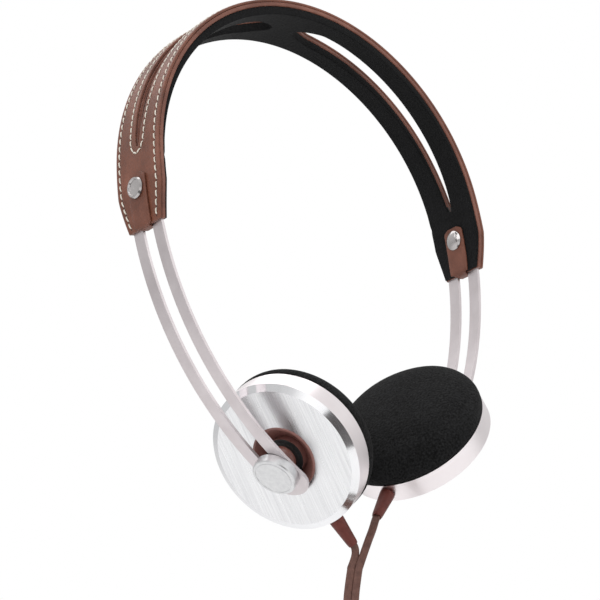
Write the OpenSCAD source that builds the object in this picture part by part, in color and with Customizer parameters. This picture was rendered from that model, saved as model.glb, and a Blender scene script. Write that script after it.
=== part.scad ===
// On-ear headphones: a slotted leather headband on two sliding steel forks,
// each carrying a round aluminium cup on a ball joint.
// Origin: underside of the headband padding, top centre. +Z up, X ear to ear, -Y front.
// "left" is the -X side, seen from the front.

/* [Headband] */
// Radius of the arch, measured at the fork's mid-plane
top_r = 82.7; // [78:0.1:90]
// Radius of the lower sides and of the forks, which slide in them
side_r = 137; // [125:1:150]
// Half angle of the arch, where the sides take over
top_half = 82; // [78:1:86]
// Angle from the vertical at which the leather ends
end_angle = 95; // [93:0.5:96]
// Width of the leather
band_w = 27; // [25:0.5:32]
// Width of the leather at its tapered ends
end_w = 19.8; // [19.4:0.1:22]
// Thickness of the padding under the top of the head
pad_t = 3.55; // [2.5:0.05:6]
// Greatest width of the two slots
slot_w = 10.2; // [6:0.2:11]

/* [Forks] */
// Width across both tines
fork_w = 17.4; // [17:0.1:17.4]
// Width of one tine
tine_w = 5.6; // [5:0.1:5.6]
// Thickness of the steel
fork_t = 1.2; // [0.8:0.1:1.2]
// Angle at which the left fork's pivot stands
left_angle = 139.6; // [136:0.1:140]
// Angle at which the right fork's pivot stands
right_angle = 133.3; // [130:0.1:136]
// Diameter of the disc over the pivot
cap_d = 17.6; // [14:0.2:18]

/* [Cups] */
// Outer diameter of a cup
cup_d = 62; // [60:1:66]
// Depth of the aluminium wall
wall_h = 8.3; // [8:0.1:12]
// Height of the foam above the wall
foam_h = 13.7; // [12:0.1:16]
// Tilt of the left cup from its fork
left_tilt = -14; // [-14:1:-5]
// Tilt of the right cup from its fork
right_tilt = -5; // [-14:1:-5]
// Turn of the left cup, positive towards the front
left_turn = -9; // [-14:1:14]
// Turn of the right cup, positive towards the front
right_turn = 20; // [-14:1:20]

/* [Cord] */
// Width of one flat lead
lead_w = 3; // [2.6:0.1:3.4]
// Thickness of one flat lead
lead_t = 1.6; // [1.4:0.1:2]
// Diameter of the jack's contacts
jack_d = 3.5; // [3.5:3.5:3.5]

/* [Hidden] */
$fn = 48;

// Heights and centres of the arcs
line_z = pad_t + 0.95;                       // fork's mid-plane at the top centre
top_z = line_z - top_r;                      // centre of the arch
side_x = (top_r - side_r) * sin(top_half);   // centre of the right side's arc
side_z = top_z + (top_r - side_r) * cos(top_half);

// Layers of the headband, as distances out from the fork's mid-plane
skin_out = 2;
skin_in = 1;
layer_in = -0.9;
lining_t = 0.85;
wall_t = 1.4;
taper_len = 15;
core_end = top_half - 5;   // the spring and the board stop here, clear of the tines

// Slots, as angles round the arch and lengths along it
slot_high = 4.5;
slot_low = 84;        // lower end of the right slot
slot_uneven = 3;      // the left one ends this much higher
slot_tip = 0.4;
slot_round = 12;
slot_taper = 95;

// Fork, rivet and tab
tine_gap = fork_w - 2 * tine_w;
slide_gap = 0.05;
rivet_back = 15.2;
post_r = 2;
shank_r = 2;
tab_w = 10.5;
tab_t = 1;
tab_drop = 0.3;
hook_len = 3;
tine_top = 17.5;      // left tines' length above the leather's end
plate_back = 4.7;     // the plate's round end stands this far past the pivot

// Ball joint and cup, along the cup's axis from the centre of the ball
ball_depth = 7.3;
ball_r = 5.2;
race_r = 6.6;
fit_gap = 0.05;
face_z = -1.7;
rim_z = -0.3;
wall_z = rim_z + wall_h;
face_r = cup_d / 2 - 2.7;
shell_t = 1.6;
gland_z = 4;

// Routes of the cord, in millimetres
left_route = [[-2.2, 0.6, -217], [-1, 0.8, -219], [-0.9, 1.3, -221.4], [-1.8, 1.9, -224],
    [-2.8, 2.3, -226]];
right_route = [[11.2, -1.4, -205.9], [9.4, -1.6, -208.2], [6.8, -2.1, -212],
    [3.8, -2, -216.6], [1.2, -1.2, -221.6], [-0.9, -0.1, -226.6]];
trunk_route = [[-2.2, 1.3, -227.1], [-3.3, 2.2, -232], [-4.8, 3.4, -240], [-5.2, 3.7, -249],
    [-4.6, 3.2, -258]];
flat_dir = [0.74, -0.67, 0];                 // width of the flat cord, towards +X and -Y
hank_top = -258;
hank_len = 140;
hank_w = 40;
hank_t = 12.6;
hank_at = [-2.6, 1.6];                       // middle of the hank in x and y
tail_route = [[17.2, 1.6, -300], [19, 1.6, -302], [23, 1.6, -306], [27.5, 1.6, -309.5],
    [31, 1.6, -314], [32, 1.6, -320]];
plug_at = [32, 1.6, -320];

// ---- placing ----
function angle_of(side) = side > 0 ? right_angle : left_angle;
function tilt_of(side) = side > 0 ? right_tilt : left_tilt;
function turn_of(side) = side > 0 ? right_turn : left_turn;
function back_by(length) = length / side_r * 180 / PI;

module on_side(side) {
    if (side > 0) children();
    else mirror([1, 0, 0]) children();
}

// Child: a profile of (radius, width) swept round the arch or round one side
module arch(from, to) {
    translate([0, 0, top_z]) rotate([90, 0, 0])
        rotate_extrude(start = 90 - to, angle = to - from, $fn = 180) children();
}

module flank(from, to) {
    translate([side_x, 0, side_z]) rotate([90, 0, 0])
        rotate_extrude(start = 90 - to, angle = to - from, $fn = 180) children();
}

// Local frame on one side: x down the fork, y to the front, z inward
module at_side(angle, depth = 0) {
    translate([side_x + (side_r - depth) * sin(angle), 0,
        side_z + (side_r - depth) * cos(angle)])
        rotate([0, angle, 0]) rotate([180, 0, 0]) children();
}

// Local frame of a ball's race: as at_side, centred on the ball and tilted
module at_race(side) {
    on_side(side) at_side(angle_of(side), ball_depth)
        rotate([0, -tilt_of(side), 0]) children();
}

module at_cup(side) {
    at_race(side) rotate([-turn_of(side), 0, 0]) children();
}

module strip(r, low, high, half) {
    translate([r + low, -half]) square([high - low, 2 * half]);
}

// ---- headband ----
module end_tapers(half, end_half) {
    reach = 5;
    last_half = half + (end_half - half) * (taper_len + reach) / taper_len;
    for (side = [-1, 1], front = [0, 1])
        on_side(side) mirror([0, front, 0]) at_side(end_angle)
            translate([0, 0, -10]) linear_extrude(20)
                polygon([[-taper_len, half], [reach, last_half], [reach, half + 5],
                    [-taper_len, half + 5]]);
}

module flanks(low, high, half, past = 0) {
    for (side = [-1, 1])
        on_side(side) flank(top_half, end_angle + past) strip(side_r, low, high, half);
}

module strap(low, high, half, end_half, past = 0) {
    difference() {
        union() {
            arch(-top_half, top_half) strip(top_r, low, high, half);
            flanks(low, high, half, past);
        }
        end_tapers(half, end_half);
    }
}

// Half width at an angle of the arch, for a slot whose lower end is at the angle low
function slot_half(angle, low) = let (along = top_r * PI / 180,
        near_high = min((angle - slot_high) * along / slot_round, 1),
        near_low = min((low - angle) * along / slot_taper, 1))
    slot_tip + (slot_w / 2 - slot_tip) * min(pow(near_high, 0.6), sqrt(near_low));

// One slot: a wedge swept round the arch, wide near the top and narrow near the rivet
module slot(low, grow) {
    angles = concat([for (d = [0, 0.4, 1.2, 2.4, 4, 6, 8.3]) slot_high + d],
        [for (u = [0.2 : 0.1 : 0.9]) slot_high + (low - slot_high) * u],
        [for (d = [5, 2.6, 1, 0.2, 0]) low - d]);
    last = len(angles) - 1;
    points = [for (a = angles) let (h = slot_half(a, low) + grow)
        for (c = [[-16, -h], [-16, h], [12, h], [12, -h]])
            [(top_r + c[0]) * sin(a), c[1], top_z + (top_r + c[0]) * cos(a)]];
    faces = concat([[0, 1, 2, 3]], [for (k = [0 : last - 1], j = [0 : 3])
        let (m = (j + 1) % 4, p = 4 * k + j, q = 4 * k + m)
        each j % 2 == 0 ? [[p, p + 4, q + 4, q]] : [[p, p + 4, q + 4], [p, q + 4, q]]],
        [[for (j = [3 : -1 : 0]) 4 * last + j]]);
    polyhedron(points = points, faces = faces, convexity = 4);
}

// Two long slots with a short bridge between them at the top; the right one is longer
module slots(grow = 0) {
    slot(slot_low, grow);
    mirror([1, 0, 0]) slot(slot_low - slot_uneven, grow);
}

module rivet_holes(r) {
    for (side = [-1, 1]) on_side(side) at_side(end_angle - back_by(rivet_back))
        translate([0, 0, -8]) cylinder(r = r, h = 16);
}

module headband_leather() {
    color("#74483a") difference() {
        strap(layer_in, skin_out, band_w / 2, end_w / 2);
        strap(layer_in - 1, skin_in, band_w / 2 - wall_t, end_w / 2 - 0.9, 1);
        slots();
        rivet_holes(post_r + fit_gap);
    }
}

module headband_pad() {
    outer = layer_in - 0.05;
    half = band_w / 2 - 0.6;
    drop = (pad_t - lining_t) / (1 - cos(top_half));
    color("#1c1b1c") difference() {
        union() {
            difference() {
                arch(-top_half, top_half) strip(top_r, outer - pad_t - 2, outer, half);
                translate([0, 20, top_z - drop]) rotate([90, 0, 0])
                    cylinder(r = top_r + outer - pad_t + drop, h = 40, $fn = 180);
            }
            flanks(outer - lining_t, outer, half);
        }
        end_tapers(half, end_w / 2 - 0.6);
        slots();
        rivet_holes(post_r + fit_gap);
    }
}

module core_layer(low, high, half) {
    difference() {
        arch(-core_end, core_end) strip(top_r, low, high, half);
        slots(0.8);
    }
}

module headband_spring() {
    color("#a9abb0") core_layer(layer_in, layer_in + 0.6, 10.6);
}

module headband_board() {
    color("#8a7a62") core_layer(layer_in + 0.65, skin_in - 0.05, 11.9);
}

// Moulded block in the end of the headband; the fork's tines slide in it
module guide(side) {
    lip = 5;
    inner = tine_gap / 2 - slide_gap;
    outer = fork_w / 2 + slide_gap;
    hooked = outer + 1.4;
    reach = fork_t / 2 + slide_gap;
    low_end = end_angle - 0.2;
    color("#2b2a2a") difference() {
        on_side(side) intersection() {
            flank(top_half, low_end) strip(side_r, layer_in, skin_in - 0.05, 12);
            strap(layer_in - 1, skin_out, band_w / 2 - wall_t - 0.05, end_w / 2 - 0.95, 1);
        }
        on_side(side) for (front = [0, 1]) mirror([0, front, 0]) {
            flank(top_half - 1, low_end - back_by(lip))
                translate([side_r - reach, inner]) square([2 * reach, hooked - inner]);
            flank(top_half - 1, low_end + 1)
                translate([side_r - reach, inner]) square([2 * reach, outer - inner]);
        }
        slots();
        rivet_holes(post_r + fit_gap);
    }
}

// Leather tab folded round the headband's end, between the tines
module tab_leg(low) {
    rivet_angle = end_angle - back_by(rivet_back);
    flank(rivet_angle, end_angle + back_by(tab_drop))
        strip(side_r, low, low + tab_t, tab_w / 2);
    at_side(rivet_angle) translate([0, 0, -low - tab_t])
        cylinder(r = tab_w / 2 - 0.02, h = tab_t);
}

module tab(side) {
    inner = layer_in - 0.2 - lining_t - tab_t;
    outer = skin_out + 0.05;
    color("#6c4034") on_side(side) difference() {
        union() {
            tab_leg(inner);
            tab_leg(outer);
            flank(end_angle + back_by(tab_drop - 0.2), end_angle + back_by(tab_drop + tab_t))
                strip(side_r, inner, outer + tab_t, tine_gap / 2 - 0.3);
        }
        at_side(end_angle - back_by(rivet_back)) translate([0, 0, -8])
            cylinder(r = post_r + fit_gap, h = 16);
    }
}

module at_rivet(side) {
    on_side(side) at_side(end_angle - back_by(rivet_back)) children();
}

// Outer cap with a raised rim, and the post through the band
module rivet(side) {
    seat = skin_out + 0.1 + tab_t;
    color("#c9c9cb") at_rivet(side) {
        rotate([180, 0, 0]) translate([0, 0, seat]) rotate_extrude()
            polygon([[0, 0], [4.2, 0], [4.3, 0.6], [3.9, 1.4], [3.3, 1.5], [3, 1], [0, 1.15]]);
        translate([0, 0, -seat - 0.2]) cylinder(r = post_r, h = seat + 4);
    }
}

// Smooth domed cap on the inside
module rivet_cap(side) {
    seat = -layer_in + 0.3 + lining_t + tab_t;
    dome_r = 7;
    color("#c9c9cb") at_rivet(side) difference() {
        intersection() {
            translate([0, 0, seat]) cylinder(r = 4.1, h = 3);
            translate([0, 0, seat + 1.6 - dome_r]) sphere(r = dome_r);
        }
        translate([0, 0, seat - 1]) cylinder(r = post_r + 0.02, h = 1 + 3.8 - seat + 0.1);
    }
}

// ---- forks ----
module fork(side) {
    low = angle_of(side);
    top = end_angle - back_by(tine_top) + (low - left_angle);
    slot_end = low - back_by(6);
    color("#c8c0c0") on_side(side) {
        difference() {
            flank(top, low + back_by(16)) strip(side_r, -fork_t / 2, fork_t / 2, fork_w / 2);
            flank(top - 1, slot_end) strip(side_r, -2, 2, tine_gap / 2);
            at_side(slot_end) translate([0, 0, -4]) cylinder(r = tine_gap / 2, h = 8);
            at_side(low) translate([0, 0, -6]) {
                cylinder(r = shank_r, h = 12);
                linear_extrude(12) difference() {
                    translate([plate_back + 1, -12]) square([16, 24]);
                    translate([plate_back, 0]) circle(r = fork_w / 2 + 0.2);
                }
            }
        }
        for (front = [0, 1]) mirror([0, front, 0])
            flank(top, top + back_by(hook_len))
                translate([side_r - fork_t / 2, tine_gap / 2 + 1])
                    square([fork_t, fork_w / 2 + 1.2 - tine_gap / 2 - 1]);
    }
}

// Turned disc over the pivot, with plain ring grooves
module pivot_cap(side) {
    r = cap_d / 2;
    color("#d8d8da") on_side(side) at_side(angle_of(side)) rotate([180, 0, 0])
        translate([0, 0, fork_t / 2 + 0.02]) difference() {
            rotate_extrude() polygon([[0, 0], [r, 0], [r, 3.3], [r - 0.4, 3.7], [r - 1.3, 3.8],
                [r - 1.35, 3.65], [r - 1.6, 3.65], [r - 1.65, 3.8], [0, 3.8]]);
            translate([0, 0, -1]) cylinder(r = shank_r, h = 3.5);
        }
}

// Ball stud: ball, neck and the shank through fork and cap
module ball(side) {
    color("#7a4436") on_side(side) at_side(angle_of(side)) {
        translate([0, 0, ball_depth]) sphere(r = ball_r);
        translate([0, 0, fork_t / 2 + 0.05]) cylinder(r = 3, h = 3);
        translate([0, 0, -fork_t / 2 - 2.4]) cylinder(r = shank_r - fit_gap, h = 5);
    }
}

module slab(low, high) {
    translate([-40, -40, low]) cube([80, 80, high - low]);
}

// Split liner between the ball and the cup's socket
module race(side) {
    color("#232323") at_race(side) difference() {
        intersection() {
            sphere(r = race_r);
            slab(-0.8, 4.6);
        }
        sphere(r = ball_r + fit_gap);
    }
}

// ---- cups ----
module shell(side) {
    r = cup_d / 2;
    hole = 12.2;
    color("#d6d6d9") at_cup(side) difference() {
        rotate_extrude($fn = 120) polygon([[hole, face_z], [face_r, face_z], [r, rim_z],
            [r, wall_z], [r - shell_t, wall_z], [r - shell_t, 0.8], [r - 2.6, 0.1],
            [hole, 0.1]]);
        translate([r - 5, 0, gland_z]) rotate([0, 90, 0]) cylinder(r = 2.35, h = 10);
    }
}

// Moulded funnel round the ball joint
module funnel(side) {
    lip = 13.2;
    color("#5f362d") at_cup(side) rotate_extrude($fn = 96) polygon([
        [12.5, face_z - 0.35], [13, face_z - 0.3], [lip, face_z - 0.02], [12.15, face_z - 0.02],
        [12.15, 0.2], [9.4, 4.6], [7.8, 4.6], [7.8, 2.4], [11.9, face_z + 0.1],
        [12.1, face_z - 0.25]]);
}

boss_r = 24;
boss_angles = [60, 180, 300];

// Socket of the ball joint, with three arms that carry the baffle
module chassis(side) {
    color("#2a2a2b") at_cup(side) difference() {
        union() {
            translate([0, 0, -0.8]) cylinder(r = 7.75, h = 8.2);
            translate([0, 0, 4.65]) cylinder(r = 12, h = 2.75);
            for (a = boss_angles) rotate([0, 0, a]) {
                translate([8, -2.5, 4.65]) cube([boss_r - 8, 5, 1.5]);
                translate([boss_r, 0, 4.65]) cylinder(r = 2.6, h = 2.75);
            }
        }
        sphere(r = race_r + fit_gap);
        for (a = boss_angles) rotate([0, 0, a]) translate([boss_r, 0, 4])
            cylinder(r = 0.95, h = 4);
    }
}

// Rear plate of the cup; the driver sits on it
module baffle(side) {
    color("#2d2d2e") at_cup(side) difference() {
        union() {
            translate([0, 0, wall_z + 0.02]) cylinder(r = 30, h = 1.25);
            translate([0, 0, wall_z - 0.55]) cylinder(r = cup_d / 2 - shell_t - 0.1, h = 1);
        }
        for (a = boss_angles) rotate([0, 0, a]) translate([boss_r, 0, 0]) {
            cylinder(r = 1.05, h = 12);
            translate([0, 0, wall_z + 0.2]) cylinder(r = 2.1, h = 4);
        }
        for (a = [30 : 60 : 330]) rotate([0, 0, a]) translate([14, 0, 0])
            cylinder(r = 1.4, h = 12);
    }
}

module screws(side) {
    color("#8d8d90") at_cup(side) for (a = boss_angles) rotate([0, 0, a])
        translate([boss_r, 0, 0]) {
            translate([0, 0, 4.8]) cylinder(r = 0.9, h = 4);
            translate([0, 0, wall_z + 0.22]) cylinder(r = 1.9, h = 0.95);
        }
}

// Acoustic felt behind the baffle
module felt(side) {
    color("#4d4d50") at_cup(side) difference() {
        translate([0, 0, 6.3]) cylinder(r = 25.5, h = 1.05);
        cylinder(r = 12.5, h = 12);
        for (a = boss_angles) rotate([0, 0, a]) translate([boss_r, 0, 0])
            cylinder(r = 3, h = 12);
    }
}

driver_z = wall_z + 1.3;

module driver(side) {
    color("#3a3a3c") at_cup(side) translate([0, 0, driver_z]) rotate_extrude()
        polygon([[0, 0], [19.5, 0], [19.5, 3.6], [18.3, 3.6], [18.3, 0.8], [0, 0.8]]);
}

module magnet(side) {
    color("#8b8f96") at_cup(side) translate([0, 0, driver_z + 0.82]) difference() {
        cylinder(r = 7.5, h = 1.7);
        translate([0, 0, 0.5]) cylinder(r = 1.5, h = 3);
    }
}

module diaphragm(side) {
    color("#c9b48a") at_cup(side) translate([0, 0, driver_z + 2.7]) rotate_extrude()
        polygon([[0, 0.55], [4, 0.45], [8, 0], [14, 0.5], [18.2, 0.1], [18.2, 0.3],
            [14, 0.7], [8, 0.2], [4, 0.65], [0, 0.75]]);
}

module grille(side) {
    color("#3b3b3b") at_cup(side) translate([0, 0, driver_z + 3.62]) difference() {
        cylinder(r = 19.5, h = 0.7);
        translate([0, 0, -1]) cylinder(r = 1.3, h = 3);
        for (ring = [1 : 4], k = [0 : 6 * ring - 1])
            rotate([0, 0, k * 60 / ring]) translate([ring * 4, 0, -1])
                cylinder(r = 1.1, h = 3);
    }
}

// Small solder board on the back of the face
module terminal(side) {
    color("#2f6b45") at_cup(side) rotate([0, 0, 120]) translate([15, -4, 0.12]) {
        cube([8, 8, 1]);
        for (k = [1, 4, 7]) translate([4, k, 0.9]) cylinder(r = 0.7, h = 0.5);
    }
}

// Clamp that holds the lead inside the cup
module clamp(side) {
    color("#2a2a2b") at_cup(side) difference() {
        translate([19.5, -3.2, 0.12]) cube([4, 6.4, 6]);
        translate([15, 0, gland_z]) rotate([0, 90, 0]) cylinder(r = lead_w / 2 + 0.02, h = 12);
    }
}

// Domed foam pad, hollow over the driver
module foam(side) {
    r = 31.2;
    base = wall_z + 0.3;
    height = foam_h - 0.3;
    steps = 16;
    dome = [for (k = [0 : steps]) let (t = 90 * k / steps)
        [r * pow(cos(t), 0.72), base + 2 + (height - 2) * pow(sin(t), 0.9)]];
    color("#222223") at_cup(side) difference() {
        rotate_extrude($fn = 96) polygon(concat([[0, base], [r, base]], dome));
        translate([0, 0, base - 1]) cylinder(r = 30.05, h = 1 + driver_z - base + 0.05);
        translate([0, 0, base - 1]) cylinder(r = 20, h = driver_z - base + 6);
    }
}

// Tapered strain relief; its flange sits inside the wall
module relief(side) {
    r = cup_d / 2;
    tip = r + 12.5;
    color("#7b3f38") at_cup(side) translate([0, 0, gland_z]) rotate([0, 90, 0])
        rotate_extrude() polygon([[lead_w / 2 + 0.02, r - 5], [3.2, r - 5], [3.2, r - 3],
            [2.3, r - 2.9], [2.3, r + 0.1], [3, r + 0.5], [2.9, r + 2], [2.1, tip - 1],
            [1.9, tip], [lead_w / 2 + 0.02, tip]]);
}

// ---- cord ----
function bend(p, t) =
    let (n = len(p) - 1, i = min(floor(t), n - 1), u = t - i,
        a = p[max(i - 1, 0)], b = p[i], c = p[i + 1], d = p[min(i + 2, n)])
    0.5 * (2 * b + (c - a) * u + (2 * a - 5 * b + 4 * c - d) * u * u
        + (3 * b - a - 3 * c + d) * u * u * u);

function unit(v) = v / norm(v);

// A flat cord swept along a route: rings of `sides` points, half width a, half thickness b
module swept(route, wide, a, b, sides = 8, per = 2) {
    rings = (len(route) - 1) * per;
    pts = [for (k = [0 : rings]) let (t = k / per, p = bend(route, t),
        run = unit(bend(route, min(t + 0.05, len(route) - 1)) - bend(route, max(t - 0.05, 0))),
        w = unit(wide - run * (wide * run)), n = cross(run, w))
        for (j = [0 : sides - 1]) let (q = 360 * (j + 0.5) / sides)
            p + a * cos(q) * w + b * sin(q) * n];
    last = rings * sides;
    faces = concat(
        [[for (j = [0 : sides - 1]) j]],
        [for (k = [0 : rings - 1], j = [0 : sides - 1]) let (m = (j + 1) % sides)
            [k * sides + j, (k + 1) * sides + j, (k + 1) * sides + m, k * sides + m]],
        [[for (j = [sides - 1 : -1 : 0]) last + j]]);
    polyhedron(points = pts, faces = faces, convexity = 6);
}

module lead_left() {
    color("#6b5148") swept(left_route, flat_dir, lead_w / 2, lead_t / 2);
}

module lead_right() {
    color("#6b5148") swept(right_route, flat_dir, lead_w / 2, lead_t / 2);
}

module twin_cord() {
    color("#6b5148") swept(trunk_route, flat_dir, lead_w, lead_t / 2);
}

// The rest of the cord, folded into a hank
module cord_hank() {
    r = hank_w / 2;
    color("#6b5148")
        translate([hank_at[0], hank_at[1] + hank_t / 2, 0]) rotate([90, 0, 0])
            linear_extrude(hank_t) {
                translate([0, hank_top - r]) circle(r = r);
                translate([0, hank_top - hank_len + r]) circle(r = r);
                translate([-r, hank_top - hank_len + r]) square([hank_w, hank_len - hank_w]);
            }
}

module cord_tie() {
    r = hank_w / 2;
    z = hank_top - hank_len / 2 - 12;
    color("#2a2623") translate([hank_at[0], hank_at[1], z - 4]) linear_extrude(8) difference() {
        translate([-r - 1.3, -hank_t / 2 - 1.3]) square([hank_w + 2.6, hank_t + 2.6]);
        translate([-r - 0.05, -hank_t / 2 - 0.05]) square([hank_w + 0.1, hank_t + 0.1]);
    }
}

// From the hank to the plug
module cord_tail() {
    color("#6b5148") swept(tail_route, [0, 1, 0], lead_w, lead_t / 2);
}

module at_plug() {
    translate(plug_at) rotate([180, 0, 0]) children();
}

module plug_relief() {
    color("#5a3a32") at_plug() rotate_extrude() polygon([[0, 0], [3.1, 0], [3.4, 10], [0, 10]]);
}

module plug_body() {
    color("#5a3a32") at_plug() rotate_extrude() polygon([[0, 10.02], [3.4, 10.02], [3.7, 10.6],
        [3.7, 25], [3.3, 25.6], [0, 25.6]]);
}

// Jack: three contacts parted by insulating rings, with a grooved tip
module plug_contacts() {
    r = jack_d / 2;
    color("#cfcac0") at_plug() translate([0, 0, 25.62]) {
        cylinder(r = r + 0.9, h = 0.6);
        translate([0, 0, 0.6]) cylinder(r = r, h = 11);
        translate([0, 0, 11.6]) rotate_extrude()
            polygon([[0, 0], [r, 0], [r - 0.4, 0.5], [r, 1.4], [0.8, 2.9], [0, 3.1]]);
    }
}

headband_leather();
headband_pad();
headband_spring();
headband_board();
guide(-1);  // guide_left
guide(1);  // guide_right
tab(-1);  // tab_left
tab(1);  // tab_right
rivet(-1);  // rivet_left
rivet(1);  // rivet_right
rivet_cap(-1);  // rivet_cap_left
rivet_cap(1);  // rivet_cap_right
fork(-1);  // fork_left
fork(1);  // fork_right
pivot_cap(-1);  // pivot_cap_left
pivot_cap(1);  // pivot_cap_right
ball(-1);  // ball_left
ball(1);  // ball_right
race(-1);  // race_left
race(1);  // race_right
shell(-1);  // shell_left
shell(1);  // shell_right
funnel(-1);  // funnel_left
funnel(1);  // funnel_right
chassis(-1);  // chassis_left
chassis(1);  // chassis_right
baffle(-1);  // baffle_left
baffle(1);  // baffle_right
screws(-1);  // screws_left
screws(1);  // screws_right
felt(-1);  // felt_left
felt(1);  // felt_right
driver(-1);  // driver_left
driver(1);  // driver_right
magnet(-1);  // magnet_left
magnet(1);  // magnet_right
diaphragm(-1);  // diaphragm_left
diaphragm(1);  // diaphragm_right
grille(-1);  // grille_left
grille(1);  // grille_right
terminal(-1);  // terminal_left
terminal(1);  // terminal_right
clamp(-1);  // clamp_left
clamp(1);  // clamp_right
foam(-1);  // foam_left
foam(1);  // foam_right
relief(-1);  // relief_left
relief(1);  // relief_right
lead_left();
lead_right();
twin_cord();
cord_hank();
cord_tie();
cord_tail();
plug_relief();
plug_body();
plug_contacts();
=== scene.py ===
"""On-ear headphones: materials, leather, padding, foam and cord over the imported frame.

Lengths in the helpers are in millimetres and become metres where a mesh is made.
+Z is up, X runs from ear to ear and -Y is the front; "left" is the -X side.
"""

import math
import random

import bmesh
import bpy
import numpy as np
from mathutils import Matrix, Vector


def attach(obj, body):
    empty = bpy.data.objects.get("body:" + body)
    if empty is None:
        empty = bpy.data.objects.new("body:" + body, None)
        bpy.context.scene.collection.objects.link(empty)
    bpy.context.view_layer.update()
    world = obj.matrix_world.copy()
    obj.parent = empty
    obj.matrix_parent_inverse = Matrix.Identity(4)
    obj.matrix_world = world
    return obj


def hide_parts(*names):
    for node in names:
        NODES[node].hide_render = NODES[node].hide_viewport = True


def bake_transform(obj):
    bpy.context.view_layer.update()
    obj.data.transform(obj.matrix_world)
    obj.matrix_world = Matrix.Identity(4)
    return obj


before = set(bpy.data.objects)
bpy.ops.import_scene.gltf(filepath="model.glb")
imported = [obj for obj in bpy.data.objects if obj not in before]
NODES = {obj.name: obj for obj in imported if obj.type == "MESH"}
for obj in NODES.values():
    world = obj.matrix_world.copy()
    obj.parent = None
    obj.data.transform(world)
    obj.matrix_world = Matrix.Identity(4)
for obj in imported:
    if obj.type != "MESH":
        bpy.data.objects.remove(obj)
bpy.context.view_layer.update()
MM = 0.001
random.seed(7)

# ---- sizes shared with the CAD, in millimetres and degrees ----
TOP_R, SIDE_R = 82.7, 137.0  # arch and lower sides, at the fork's mid-plane
TOP_HALF, END_ANGLE = 82.0, 95.0
PAD_T, LINING_T = 3.55, 0.85
CORE_HALF = 0.95  # from the fork's mid-plane to the padding
TOP_Z = PAD_T + CORE_HALF - TOP_R
SIDE_X = (TOP_R - SIDE_R) * math.sin(math.radians(TOP_HALF))
SIDE_Z = TOP_Z + (TOP_R - SIDE_R) * math.cos(math.radians(TOP_HALF))
ARCH_S = TOP_R * math.radians(TOP_HALF)
END_S = ARCH_S + SIDE_R * math.radians(END_ANGLE - TOP_HALF)
RIVET_IN = 15.2  # from the band's end to its rivet
RIVET_S = END_S - RIVET_IN
HALF_W, END_HALF, TAPER = 13.5, 9.9, 15.0
SLOT_HALF, SLOT_TIP = 5.1, 0.4
SLOT_HIGH, SLOT_ROUND, SLOT_TAPER = math.radians(4.5), 12.0, 95.0
SLOT_LOW = {-1: math.radians(81), 1: math.radians(84)}  # the right slot is longer
SKIN_OUT = 2.0  # outer face of the leather, from the mid-plane
BALL_DEPTH = 7.3  # from the fork's mid-plane to the ball
CUP_R = 31.0
WALL_Z = 8.0  # inner edge of the cup's wall
FACE_R, FACE_Z = 28.2, -1.6  # rim and height of the brushed face
BEVEL_R, BEVEL_Z = 28.3, -0.35  # start and inner edge of the chamfer round it
SOCKET_SHADE_R, SOCKET_Z = 7.7, 4.6  # the chassis is brown past this radius, short of this depth; inside it stays black as painted shade round the ball
BRUSH_TURN = -12
SIDES = {
    "left": {"sign": -1, "angle": 139.6, "tilt": -14, "turn": -9},
    "right": {"sign": 1, "angle": 133.3, "tilt": -5, "turn": 20},
}

# ---- camera ----
camera = bpy.data.objects.new("camera", bpy.data.cameras.new("camera"))
bpy.context.scene.collection.objects.link(camera)
bpy.context.scene.camera = camera
EYE = Vector((-0.611844, -0.65818, -0.411985))
LOOK = Vector((0.64014, 0.70197, 0.31217)).normalized()
UP = Vector((-0.10296, -0.32429, 0.94034)).normalized()
RIGHT = LOOK.cross(UP).normalized()
UP = RIGHT.cross(LOOK)
turn = Matrix((RIGHT, UP, -LOOK)).transposed()
camera.matrix_world = Matrix.Translation(EYE) @ turn.to_4x4()
camera.data.sensor_width = 36
camera.data.lens = 143.2
camera.data.clip_start, camera.data.clip_end = 0.05, 20


# ---- node helpers ----
def new_material(name):
    """A material with its nodes, and its shader's sockets by name."""
    m = bpy.data.materials.new(name)
    m.use_nodes = True
    return m, m.node_tree.nodes, m.node_tree.links, m.node_tree.nodes["Principled BSDF"]


def add(nodes, kind, **values):
    """A new node with its input sockets, or else its own settings, set by name."""
    n = nodes.new(kind)
    for k, v in values.items():
        if k in n.inputs.keys():
            n.inputs[k].default_value = v
        else:
            setattr(n, k, v)
    return n


def object_space(nodes, links, turn=None, scale=(1, 1, 1)):
    """Object coordinates, turned into a local frame and stretched."""
    co = add(nodes, "ShaderNodeTexCoord").outputs["Object"]
    if turn is not None:
        rot = add(nodes, "ShaderNodeMapping", vector_type="POINT")
        rot.inputs["Rotation"].default_value = turn
        links.new(co, rot.inputs["Vector"])
        co = rot.outputs["Vector"]
    m = add(nodes, "ShaderNodeMapping")
    m.inputs["Scale"].default_value = scale
    links.new(co, m.inputs["Vector"])
    return m.outputs["Vector"]


def noise(nodes, links, vector, scale, detail=3.0):
    n = add(nodes, "ShaderNodeTexNoise", Scale=scale, Detail=detail, Roughness=0.6)
    links.new(vector, n.inputs["Vector"])
    return n.outputs["Fac"]


def ramp(nodes, links, value, stops):
    """A colour ramp with (position, colour) stops; a number for a colour means grey."""
    r = add(nodes, "ShaderNodeValToRGB")
    els = r.color_ramp.elements
    while len(els) < len(stops):
        els.new(0.5)
    for e, (p, c) in zip(els, stops):
        e.position = p
        e.color = (*([c] * 3 if isinstance(c, (int, float)) else c), 1)
    links.new(value, r.inputs["Fac"])
    return r.outputs["Color"]


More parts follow.
